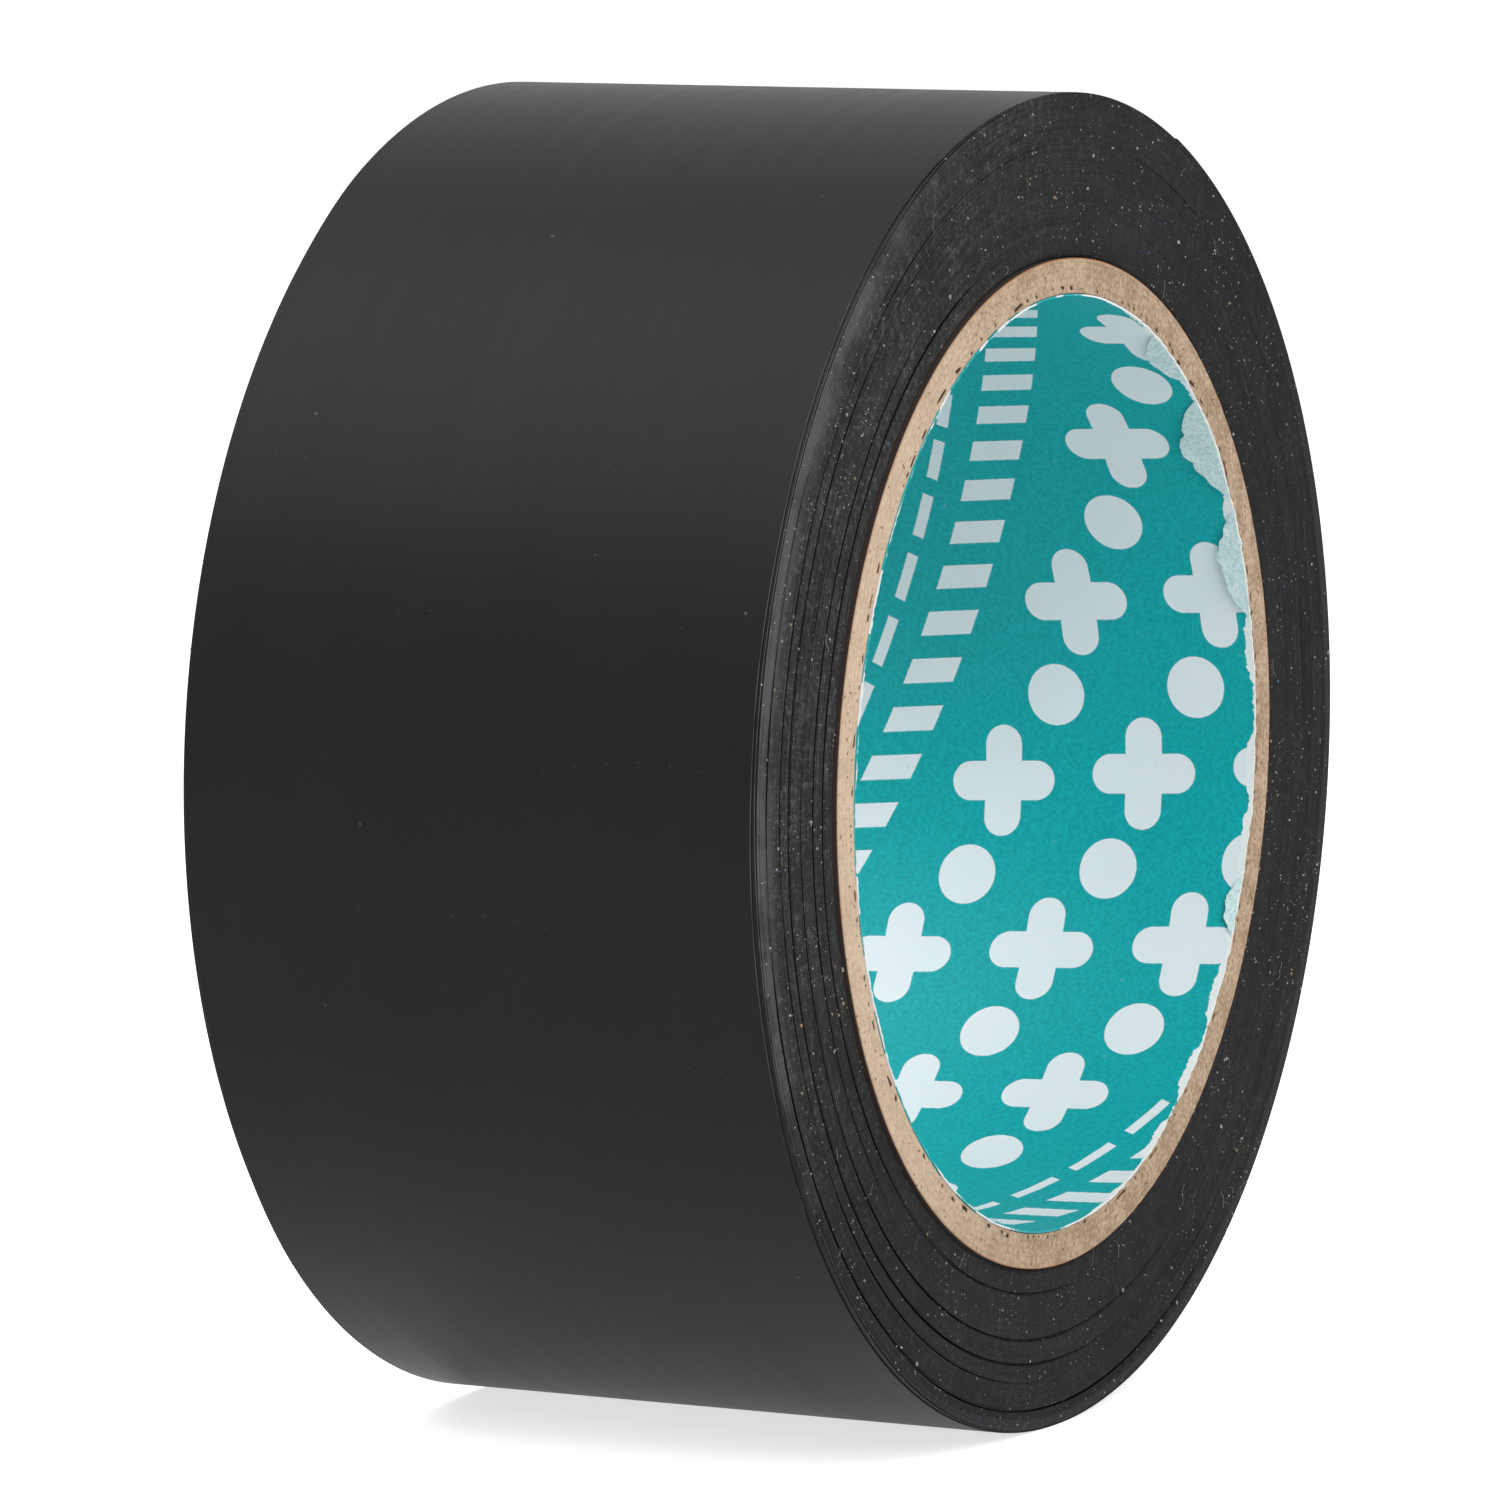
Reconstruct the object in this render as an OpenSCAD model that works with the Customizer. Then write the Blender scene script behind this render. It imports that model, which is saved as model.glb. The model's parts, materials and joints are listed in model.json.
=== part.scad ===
// Roll of black PVC electrical tape on a spirally wound paper core.
// The roll stands on its tread. Its axis is +Y, the front face is at -Y, and the origin is the
// middle of the core's bore. All sizes are in millimetres.

/* [Tape] */
// Width of the tape
tape_width = 50.8; // [12:0.1:100]
// Thickness of the tape as wound, film and adhesive together
tape_thickness = 0.13; // [0.1:0.01:0.2]
// Turns in each pack of wraps, from the core outwards
pack_turns = [16, 12, 17, 15, 12, 17, 13]; // [6:1:40]
// How far each pack of wraps stands out of the front face
pack_shift = [0.02, -0.06, 0.04, -0.05, 0.06, -0.03, 0.03]; // [-0.25:0.01:0.25]

/* [Core] */
// Diameter of the bore
core_bore = 76.2; // [25:0.1:160]
// Thickness of the printed liner paper
liner_thickness = 0.15; // [0.1:0.01:0.3]
// Thickness of each board ply
board_thickness = 0.625; // [0.3:0.025:1]
// Thickness of the outer ply that the tape is wound on
cover_thickness = 0.35; // [0.15:0.01:0.5]
// How far the core stands out of the tape at each face
core_overhang = 0.33; // [0.3:0.01:1.5]

/* [Free end] */
// Where the cut end of the tape lies, in degrees from +X towards +Z
end_angle = 66; // [20:1:160]
// Length of the free end that lifts
end_length = 16; // [8:1:30]
// Air under the free end
end_lift = 0.04; // [0.03:0.01:0.1]
// Slit between the free end and the wrap that it hinges on
end_slit = 0.06; // [0.04:0.01:0.1]

/* [Hidden] */

board_plies = 4;
core_length = tape_width + 2 * core_overhang;
bore_r = core_bore / 2;
core_r = bore_r + liner_thickness + board_plies * board_thickness + cover_thickness;

// Half a thickness: the distance between the two centres of the wound spiral
half_step = tape_thickness / 2;
pack_count = len(pack_turns);
turns_below_outer = turns_before(pack_count);
outer_r = wrap_r(turns_below_outer + 1);
// The spiral's second half, where the free end lies, turns about this centre
end_centre = half_step * [cos(end_angle), sin(end_angle)];
end_seat_r = wrap_r(turns_below_outer) + half_step + end_lift;
// The free end hinges on its outer face, this angle before the cut end, in the middle of the slit
end_span = end_length / end_seat_r * 180 / PI;
slit_span = end_slit / end_seat_r * 180 / PI;

clear_of_roll = 2 * outer_r;
black = [0.13, 0.13, 0.135];
kraft = [0.72, 0.58, 0.44];
teal = [0.1, 0.6, 0.6];
$fn = 180;

// Turns wound before pack number k, counted from 0
function turns_before(k) = k == 0 ? 0 : pack_turns[k - 1] + turns_before(k - 1);

// Radius of the wound tape over n turns, where the n-th turn begins
function wrap_r(n) = core_r + n * tape_thickness;

// Inner radius of board ply k, counted from 1
function ply_r(k) = bore_r + liner_thickness + (k - 1) * board_thickness;

// Stands a flat outline up on the roll's axis, shifted towards the front face
module on_axis(length, shift = 0) {
    rotate([90, 0, 0])
        translate([0, 0, shift])
            linear_extrude(height = length, center = true)
                children();
}

// The half of the drawing plane on one side of the line through the cut end
module half_plane(side) {
    translate([-clear_of_roll, side > 0 ? 0 : -clear_of_roll])
        square([2 * clear_of_roll, clear_of_roll]);
}

// Outline of wound tape, as a spiral drawn from two centres. It starts at radius r beside the
// cut end and comes back to it one tape thickness further out.
module wound_outline(r) {
    rotate(end_angle) {
        intersection() {
            circle(r);
            half_plane(1);
        }
        intersection() {
            translate([half_step, 0]) circle(r + half_step);
            half_plane(-1);
        }
    }
}

// Sector of the drawing plane that ends on the line through the cut end. The line is the turned
// plane's own +X, as it is in wound_outline, so the two edges coincide at any end_angle.
module sector_to_end(span) {
    rotate(end_angle)
        polygon([
            [0, 0],
            clear_of_roll * [cos(span), -sin(span)],
            clear_of_roll * [cos(span / 2), -sin(span / 2)],
            [clear_of_roll, 0]
        ]);
}

// One ply of the core, as a tube
module core_tube(inner_r, thickness) {
    on_axis(core_length)
        difference() {
            circle(inner_r + thickness);
            circle(inner_r);
        }
}

module core_liner() {
    color(teal) core_tube(bore_r, liner_thickness);
}

module core_ply(k) {
    color(kraft) core_tube(ply_r(k), board_thickness);
}

module core_outer_ply() {
    color(kraft) core_tube(core_r - cover_thickness, cover_thickness);
}

// The turns between two of the gaps that show in the roll's face. The first pack lies on the
// round core, and each later one on the spiral of the pack below it.
module tape_wraps(k) {
    color(black)
        on_axis(tape_width, pack_shift[k - 1])
            difference() {
                wound_outline(wrap_r(turns_before(k)));
                if (k == 1) circle(core_r);
                else wound_outline(wrap_r(turns_before(k - 1)));
            }
}

// The last turn, as far as the slit where the free end lifts
module tape_outer_wrap() {
    color(black)
        on_axis(tape_width)
            difference() {
                wound_outline(outer_r);
                wound_outline(wrap_r(turns_below_outer));
                sector_to_end(end_span + slit_span / 2);
            }
}

// The end of the tape past its hinge line, curved as it lies on the roll
module tape_free_end() {
    color(black)
        on_axis(tape_width)
            intersection() {
                translate(end_centre)
                    difference() {
                        circle(end_seat_r + tape_thickness);
                        circle(end_seat_r);
                    }
                sector_to_end(end_span - slit_span / 2);
            }
}

core_liner();
for (k = [1 : board_plies])
    core_ply(k);
core_outer_ply();
for (k = [1 : pack_count])
    tape_wraps(k);
tape_outer_wrap();
tape_free_end();
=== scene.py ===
"""A roll of black electrical tape: its wound strip, paper core and printed liner, dressed and lit.

The roll's axis is +Y and its front face is at -Y. Angles run from +X towards +Z. Lengths are in metres,
and a size written times MM is in millimetres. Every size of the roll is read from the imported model.
"""

import json
import logging
import math
from collections.abc import Callable
from dataclasses import dataclass, field
from enum import Enum

import bpy
import numpy as np
from bpy.types import Material, Node, NodeSocket, NodeTree, Object
from bpy.types import bpy_prop_collection as Sockets
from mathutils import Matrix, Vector


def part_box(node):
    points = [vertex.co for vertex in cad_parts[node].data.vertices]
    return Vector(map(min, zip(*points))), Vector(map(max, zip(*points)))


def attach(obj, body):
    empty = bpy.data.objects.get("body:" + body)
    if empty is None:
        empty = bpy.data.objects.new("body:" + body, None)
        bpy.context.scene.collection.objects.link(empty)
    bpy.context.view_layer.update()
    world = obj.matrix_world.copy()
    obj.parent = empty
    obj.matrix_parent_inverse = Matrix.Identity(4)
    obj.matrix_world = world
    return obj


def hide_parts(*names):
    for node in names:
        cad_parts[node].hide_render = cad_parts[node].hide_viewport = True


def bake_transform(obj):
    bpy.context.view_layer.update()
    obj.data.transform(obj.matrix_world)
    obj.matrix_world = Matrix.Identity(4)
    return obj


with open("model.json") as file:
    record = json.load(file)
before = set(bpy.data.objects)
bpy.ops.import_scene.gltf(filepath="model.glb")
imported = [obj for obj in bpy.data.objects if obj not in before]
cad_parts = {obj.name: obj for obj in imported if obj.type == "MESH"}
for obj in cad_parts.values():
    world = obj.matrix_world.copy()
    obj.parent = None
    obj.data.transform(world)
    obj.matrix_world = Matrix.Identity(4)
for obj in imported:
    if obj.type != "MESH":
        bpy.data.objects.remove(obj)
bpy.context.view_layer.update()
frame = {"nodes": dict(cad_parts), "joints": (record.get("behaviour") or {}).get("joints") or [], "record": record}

MM = 0.001
FULL_TURN = 2 * math.pi
log = logging.getLogger("tape_roll")


class Body(Enum):
    """The two moving bodies of the roll."""

    ROLL = "roll"
    END = "tape_end"


class Slot(Enum):
    """The record's material slots."""

    FILM = "tape_film"
    EDGE = "tape_edge"
    BOARD = "core_board"
    COVER = "core_cover"
    LINER = "liner_print"


class Face(Enum):
    """The two flat faces of the roll, by the sign of their side on +Y."""

    FRONT = -1
    BACK = 1


# ---------------------------------------------------------------- sizes


@dataclass(frozen=True)
class RollSizes:
    """Sizes of the roll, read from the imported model."""

    bore_r: float
    liner_r: float
    ply_r: tuple[float, ...]
    core_r: float
    core_half: float
    tape_half: float
    pack_r: tuple[float, ...]
    pack_shift: tuple[float, ...]
    outer_r: float
    end_angle: float
    hinge: tuple[float, float, float]
    floor_z: float

    @classmethod
    def from_frame(cls) -> "RollSizes":
        """Reads the boxes of the nodes, the bore's mount and the hinge."""
        record = frame["record"]
        bore = next(m for m in record["mounts"] if m["name"] == "core_bore")
        packs = [n for n in sorted(frame["nodes"]) if n.startswith("tape_wraps_")]
        plies = [n for n in sorted(frame["nodes"]) if n.startswith("core_ply_")]
        outer_low, outer_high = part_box("tape_outer_wrap")
        end_low, end_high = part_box("tape_free_end")
        core_low, core_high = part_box("core_outer_ply")
        tape_half = outer_high.y
        return cls(
            bore_r=bore["dims"]["r_mm"] * MM,
            liner_r=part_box("core_liner")[1].x,
            ply_r=tuple(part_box(n)[1].x for n in plies),
            core_r=core_high.x,
            core_half=core_high.y,
            tape_half=tape_half,
            pack_r=tuple(-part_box(n)[0].x for n in packs),
            pack_shift=tuple(-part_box(n)[0].y - tape_half for n in packs),
            outer_r=-outer_low.x,
            end_angle=math.atan2(end_high.z, end_low.x),
            hinge=tuple(frame["joints"][0]["pos_m"]),
            floor_z=outer_low.z,
        )

    @property
    def thickness(self) -> float:
        """The tape's thickness: the outer turn's share of the radius."""
        return self.outer_r - self.pack_r[-1]

    @property
    def pack_ends(self) -> np.ndarray:
        """Turns wound on the core at the end of each pack."""
        return np.rint((np.array(self.pack_r) - self.core_r) / self.thickness)

    @property
    def hinge_angle(self) -> float:
        """Where the free end starts, round the roll."""
        return math.atan2(self.hinge[2], self.hinge[0])

    def wound_r(self, turns: np.ndarray) -> np.ndarray:
        """Inner radius of the tape after some turns.

        A whole turn adds one thickness. Within it the radius holds for half a turn, then grows by
        (1 + cos of the angle) / 2 of the thickness, which is the spiral drawn from two centres.

        Args:
            turns: Turns wound since the core, with their fractions.

        Returns:
            The radius at each place.
        """
        whole = np.floor(turns + 1e-9)
        part = turns - whole
        growth = np.where(part < 0.5, 0.0, (1 + np.cos(FULL_TURN * part)) / 2)
        return self.core_r + self.thickness * (whole + growth)

    def angle_at(self, turns: np.ndarray) -> np.ndarray:
        """Angle round the roll after some turns, which start beside the cut end."""
        return self.end_angle + FULL_TURN * turns


# ---------------------------------------------------------------- noise and meshes


@dataclass(frozen=True)
class Noise:
    """Smooth seeded noise between -1 and 1, worked out on whole arrays."""

    seed: int

    def _corner(self, x: np.ndarray, y: np.ndarray, z: np.ndarray) -> np.ndarray:
        """A fixed random value for each whole-numbered point, mixed from its coordinates."""
        mask = np.uint64(0xFFFFFFFF)
        mixed = (x.astype(np.int64) * 374761393 + y.astype(np.int64) * 668265263
                 + z.astype(np.int64) * 1440662683 + self.seed * 1274126177).astype(np.uint64) & mask
        mixed = ((mixed ^ (mixed >> np.uint64(13))) * np.uint64(1274126177)) & mask
        mixed = ((mixed ^ (mixed >> np.uint64(15))) * np.uint64(2246822519)) & mask
        return ((mixed ^ (mixed >> np.uint64(16))) & np.uint64(0xFFFF)) / 32767.5 - 1

    def at(self, x: np.ndarray, y: np.ndarray = 0.0, z: np.ndarray = 0.0) -> np.ndarray:
        """Noise at points one unit of noise apart: the eight corners round a point, blended smoothly."""
        x, y, z = np.broadcast_arrays(*(np.asarray(v, float) for v in (x, y, z)))
        low = [np.floor(v) for v in (x, y, z)]
        part = [v - f for v, f in zip((x, y, z), low)]
        eased = [p * p * (3 - 2 * p) for p in part]
        total = np.zeros_like(x)
        for i in (0, 1):
            for j in (0, 1):
                for k in (0, 1):
                    share = 1.0
                    for step, e in zip((i, j, k), eased):
                        share = share * (e if step else 1 - e)
                    total += share * self._corner(low[0] + i, low[1] + j, low[2] + k)
        return total

    def layers(self, x: np.ndarray, y: np.ndarray = 0.0, z: np.ndarray = 0.0, count: int = 3) -> np.ndarray:
        """Several sizes of noise added up, each half as coarse and half as strong as the one before."""
        x, y, z = (np.asarray(v, float) for v in (x, y, z))
        total = sum(self.at(x * 2**n + 7.3 * n, y * 2**n, z * 2**n) / 2**n for n in range(count))
        return total / (2 - 2 ** (1 - count))

    def round_axis(self, angle: np.ndarray, bumps: float, row: np.ndarray = 0.0) -> np.ndarray:
        """Noise that closes on itself round the axis: it is read along a circle in the noise."""
        reach = bumps / FULL_TURN
        return self.layers(reach * np.cos(angle) + 31.7, reach * np.sin(angle) + 17.9, row)


def ease(value: np.ndarray, low: float, high: float) -> np.ndarray:
    """0 below low, 1 above high, and a smooth rise between."""
    t = np.clip((value - low) / (high - low), 0, 1)
    return t * t * (3 - 2 * t)


def on_roll(r: np.ndarray, angle: np.ndarray, y: np.ndarray) -> np.ndarray:
    """Points at a radius and an angle round the axis, and a place along it."""
    r, angle, y = np.broadcast_arrays(r, angle, y)
    return np.stack([r * np.cos(angle), y, r * np.sin(angle)], axis=-1)


def closed(near: np.ndarray, far: np.ndarray) -> np.ndarray:
    """One closed profile per station: the near row, then the far row backwards."""
    return np.concatenate([near, far[:, ::-1]], axis=1)


@dataclass
class Sheet:
    """Points and four-sided faces of one mesh in the making."""

    points: np.ndarray
    quads: np.ndarray
    finish: np.ndarray
    numbers: dict[str, np.ndarray] = field(default_factory=dict)
    colours: dict[str, np.ndarray] = field(default_factory=dict)
    uv: np.ndarray | None = None

    @classmethod
    def carried(cls, profiles: np.ndarray, ring: bool, finish: np.ndarray | None = None) -> "Sheet":
        """Joins closed profiles, one per station, into a solid skin.

        Point j of a station meets point j of the next. In an open strip the first and last
        profiles are closed by faces between points j and m - 1 - j, which lie across its thickness.

        Args:
            profiles: Points, as stations by profile points by 3.
            ring: Whether the last station meets the first.
            finish: Material number of each profile side, or None for all 0.

        Returns:
            The joined skin, with faces outwards.
        """
        stations, m, _ = profiles.shape
        i = np.arange(stations if ring else stations - 1)[:, None]
        j = np.arange(m)[None, :]
        after, beside = (i + 1) % stations, (j + 1) % m
        i, j, after, beside = np.broadcast_arrays(i, j, after, beside)
        quads = np.stack([i * m + j, i * m + beside, after * m + beside, after * m + j], -1).reshape(-1, 4)
        sides = np.zeros(m, int) if finish is None else np.asarray(finish)
        kind = np.broadcast_to(sides, i.shape).reshape(-1)
        if not ring:
            k = np.arange(m // 2 - 1)
            cap = np.stack([k, m - 1 - k, m - 2 - k, k + 1], -1)
            quads = np.concatenate([quads, cap, (cap + (stations - 1) * m)[:, ::-1]])
            kind = np.concatenate([kind, np.full(2 * len(k), sides[-1])])
        sheet = cls(profiles.reshape(-1, 3), quads, kind)
        sheet.face_outwards()
        return sheet

    def face_outwards(self) -> None:
        """Turns all faces round if the volume that they enclose comes out negative."""
        a, b, c, d = (self.points[self.quads[:, n]] for n in range(4))
        volume = (np.cross(a, b) * c).sum() + (np.cross(a, c) * d).sum()
        if volume < 0:
            self.quads = self.quads[:, ::-1]

    def to_object(self, name: str, *materials: Material, sharp_deg: float = 35) -> Object:
        """Puts the arrays into a mesh object at the origin.

        Args:
            name: The piece's name.
            materials: Its materials, in the order of the finish numbers.
            sharp_deg: Edges that turn by more than this are drawn sharp.

        Returns:
            The linked object.
        """
        mesh = bpy.data.meshes.new(name)
        mesh.vertices.add(len(self.points))
        mesh.vertices.foreach_set("co", self.points.astype(np.float32).ravel())
        mesh.loops.add(self.quads.size)
        mesh.loops.foreach_set("vertex_index", self.quads.astype(np.int32).ravel())
        mesh.polygons.add(len(self.quads))
        mesh.polygons.foreach_set("loop_start", np.arange(0, self.quads.size, 4, dtype=np.int32))
        mesh.polygons.foreach_set("material_index", self.finish.astype(np.int32))
        mesh.update(calc_edges=True)
        for key, values in self.numbers.items():
            layer = mesh.attributes.new(key, "FLOAT", "POINT")
            layer.data.foreach_set("value", values.astype(np.float32).ravel())
        for key, values in self.colours.items():
            layer = mesh.attributes.new(key, "FLOAT_COLOR", "POINT")
            layer.data.foreach_set("color", values.astype(np.float32).ravel())
        if self.uv is not None:
            layer = mesh.uv_layers.new(name="Strip")
            layer.uv.foreach_set("vector", self.uv[self.quads.ravel()].astype(np.float32).ravel())
        mesh.validate()
        mesh.shade_smooth()
        mesh.set_sharp_from_angle(angle=math.radians(sharp_deg))
        for material in materials:
            mesh.materials.append(material)
        made = bpy.data.objects.new(name, mesh)
        bpy.context.scene.collection.objects.link(made)
        log.info("%s: %d faces", name, len(self.quads))
        return made


def merged(sheets: list[Sheet]) -> Sheet:
    """Several skins as one mesh."""
    starts = np.cumsum([0] + [len(s.points) for s in sheets[:-1]])
    return Sheet(
        np.concatenate([s.points for s in sheets]),
        np.concatenate([s.quads + at for s, at in zip(sheets, starts)]),
        np.concatenate([s.finish for s in sheets]),
        colours={k: np.concatenate([s.colours[k] for s in sheets]) for k in sheets[0].colours},
    )


def settle(made: Object, node: str = "") -> None:
    """Lets a piece ride the roll, and hides the node that it stands in for."""
    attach(made, Body.ROLL.value)
    if node:
        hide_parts(node)


# ---------------------------------------------------------------- shader graphs

Input = NodeSocket | float | tuple


class Graph:
    """Adds nodes to one node tree and joins them."""

    def __init__(self, tree: NodeTree) -> None:
        """Takes the tree to add to."""
        self.tree = tree

    def add(self, kind: str, inputs: dict[str | int, Input] | None = None, **settings: object) -> Node:
        """Adds a node, with its settings, and its inputs linked or set."""
        node = self.tree.nodes.new(kind)
        for key, value in settings.items():
            setattr(node, key, value)
        for key, value in (inputs or {}).items():
            self.feed(node.inputs[key], value)
        return node

    def feed(self, socket: NodeSocket, value: Input) -> None:
        """Links an input to another node's output, or sets it to a plain value."""
        if isinstance(value, NodeSocket):
            self.tree.links.new(value, socket)
        else:
            socket.default_value = value

    def maths(self, what: str, *values: Input) -> NodeSocket:
        """One step of arithmetic."""
        return self.add("ShaderNodeMath", dict(enumerate(values)), operation=what).outputs[0]

    def times(self, a: Input, b: Input) -> NodeSocket:
        """a times b."""
        return self.maths("MULTIPLY", a, b)

    def plus(self, a: Input, b: Input) -> NodeSocket:
        """a plus b."""
        return self.maths("ADD", a, b)

    def minus(self, a: Input, b: Input) -> NodeSocket:
        """a less b."""
        return self.maths("SUBTRACT", a, b)

    def times_plus(self, a: Input, b: Input, c: Input) -> NodeSocket:
        """a times b, plus c."""
        return self.maths("MULTIPLY_ADD", a, b, c)

    def vector(self, what: str, *values: Input, out: str = "Vector") -> NodeSocket:
        """One step of vector arithmetic."""
        return self.add("ShaderNodeVectorMath", dict(enumerate(values)), operation=what).outputs[out]

    def length(self, x: Input, y: Input) -> NodeSocket:
        """Length of a flat arrow."""
        return self.vector("LENGTH", self.join(x, y, 0.0), out="Value")

    def join(self, x: Input, y: Input, z: Input) -> NodeSocket:
        """A vector of three numbers."""
        return self.add("ShaderNodeCombineXYZ", {0: x, 1: y, 2: z}).outputs[0]

    def split(self, vector: Input) -> list[NodeSocket]:
        """The three numbers of a vector."""
        return list(self.add("ShaderNodeSeparateXYZ", {0: vector}).outputs)

    def noise(self, vector: Input, scale: Input, detail: float = 3, rough: float = 0.55) -> NodeSocket:
        """Noise from 0 to 1."""
        inputs = {"Vector": vector, "Scale": scale, "Detail": detail, "Roughness": rough}
        return self.add("ShaderNodeTexNoise", inputs).outputs[0]

    def rise(self, value: Input, low: Input, high: Input,
             to_low: Input = 0.0, to_high: Input = 1.0) -> NodeSocket:
        """A smooth rise from to_low to to_high as a value goes from low to high."""
        inputs = {"Value": value, "From Min": low, "From Max": high, "To Min": to_low, "To Max": to_high}
        return self.add("ShaderNodeMapRange", inputs, interpolation_type="SMOOTHSTEP").outputs[0]

    def mix(self, share: Input, a: Input, b: Input) -> NodeSocket:
        """Colour a where share is 0, and b where it is 1."""
        node = self.add("ShaderNodeMix", data_type="RGBA")
        for key, value in (("Factor_Float", share), ("A_Color", a), ("B_Color", b)):
            self.feed(next(s for s in node.inputs if s.identifier == key), value)
        return next(s for s in node.outputs if s.identifier == "Result_Color")

    def number(self, name: str) -> NodeSocket:
        """A number that the mesh carries at its points."""
        return self.add("ShaderNodeAttribute", attribute_name=name).outputs["Fac"]

    def place(self) -> NodeSocket:
        """Where a point is on the object."""
        return self.add("ShaderNodeTexCoord").outputs["Object"]

    def group(self, tree: NodeTree, **inputs: Input) -> Sockets:
        """Places a shared effect with its own values, and gives its outputs."""
        return self.add("ShaderNodeGroup", inputs, node_tree=tree).outputs


class Effects:
    """Shader effects that more than one material uses, each built once."""

    def __init__(self) -> None:
        """Builds every shared effect."""
        vector, number = "NodeSocketVector", "NodeSocketFloat"
        self.streaks = self._build("Winding streaks", self._streaks, ["Streaks"],
                                   Place=vector, Along=number, Across=number)
        self.dust = self._build("Dust", self._dust, ["Mask"], Place=vector, Spacing=number, Share=number)
        self.fibres = self._build("Paper fibres", self._fibres, ["Fibres", "Flecks"],
                                  Place=vector, Fineness=number)

    @staticmethod
    def _build(name: str, fill: Callable[[Graph, Sockets], list[NodeSocket]], outputs: list[str],
               **inputs: str) -> NodeTree:
        """Makes a node group, its sockets and its inside."""
        tree = bpy.data.node_groups.new(name, "ShaderNodeTree")
        for key, kind in inputs.items():
            tree.interface.new_socket(name=key, in_out="INPUT", socket_type=kind)
        for key in outputs:
            tree.interface.new_socket(name=key, in_out="OUTPUT", socket_type="NodeSocketFloat")
        graph = Graph(tree)
        results = fill(graph, tree.nodes.new("NodeGroupInput").outputs)
        end = tree.nodes.new("NodeGroupOutput")
        for key, value in zip(outputs, results):
            tree.links.new(value, end.inputs[key])
        return tree

    @staticmethod
    def _streaks(g: Graph, given: Sockets) -> list[NodeSocket]:
        """Streaks along the winding: noise on the direction from the axis, and on radius plus y.

        The direction is a point on a circle, so the streaks close on themselves without a seam.
        """
        x, y, z = g.split(given["Place"])
        radius = g.length(x, z)
        across = g.times(g.plus(radius, y), given["Across"])
        towards = g.maths("DIVIDE", given["Along"], radius)
        place = g.join(g.times(x, towards), across, g.times(z, towards))
        return [g.noise(place, 1.0, 4, 0.6)]

    @staticmethod
    def _dust(g: Graph, given: Sockets) -> list[NodeSocket]:
        """Small round specks: the middles of random cells, kept in a share of the cells."""
        scale = g.maths("DIVIDE", 1.0, given["Spacing"])
        cells = g.add("ShaderNodeTexVoronoi", {"Vector": given["Place"], "Scale": scale})
        speck = g.rise(cells.outputs["Distance"], 0.16, 0.08)
        lot = g.split(cells.outputs["Color"])[0]
        return [g.times(speck, g.maths("LESS_THAN", lot, given["Share"]))]

    @staticmethod
    def _fibres(g: Graph, given: Sockets) -> list[NodeSocket]:
        """Matted paper: fine noise drawn out by a coarser one, and darker flecks here and there."""
        coarse = g.noise(given["Place"], g.times(given["Fineness"], 0.35), 2)
        moved = g.vector("ADD", given["Place"], g.join(g.times(coarse, 0.0016), 0.0, 0.0))
        fine = g.noise(moved, given["Fineness"], 6, 0.72)
        flecks = g.rise(g.noise(given["Place"], g.times(given["Fineness"], 1.7), 2), 0.66, 0.74)
        return [fine, flecks]


# ---------------------------------------------------------------- finishes


def linear(red: int, green: int, blue: int) -> tuple[float, float, float, float]:
    """A display colour of 0 to 255 as linear light, by the sRGB curve."""
    values = [v / 255 for v in (red, green, blue)]
    return (*(v / 12.92 if v <= 0.04045 else ((v + 0.055) / 1.055) ** 2.4 for v in values), 1.0)


@dataclass(frozen=True)
class Finish:
    """What all finishes share: a material with one Principled shader."""

    name: str

    def start(self) -> tuple[Material, Graph, Node]:
        """Makes the material, its graph and its shader."""
        material = bpy.data.materials.new(self.name)
        material.use_nodes = True
        shader = material.node_tree.nodes["Principled BSDF"]
        return material, Graph(material.node_tree), shader

    @staticmethod
    def wire(g: Graph, shader: Node, **inputs: Input) -> None:
        """Links or sets the shader's inputs, named with underscores for spaces."""
        for key, value in inputs.items():
            g.feed(shader.inputs[key.replace("_", " ")], value)

    @staticmethod
    def bump(g: Graph, height: Input, depth: float, strength: float = 1.0) -> NodeSocket:
        """Turns a height from 0 to 1 into a normal, at a real depth."""
        inputs = {"Height": height, "Distance": depth, "Strength": strength}
        return g.add("ShaderNodeBump", inputs).outputs[0]


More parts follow.
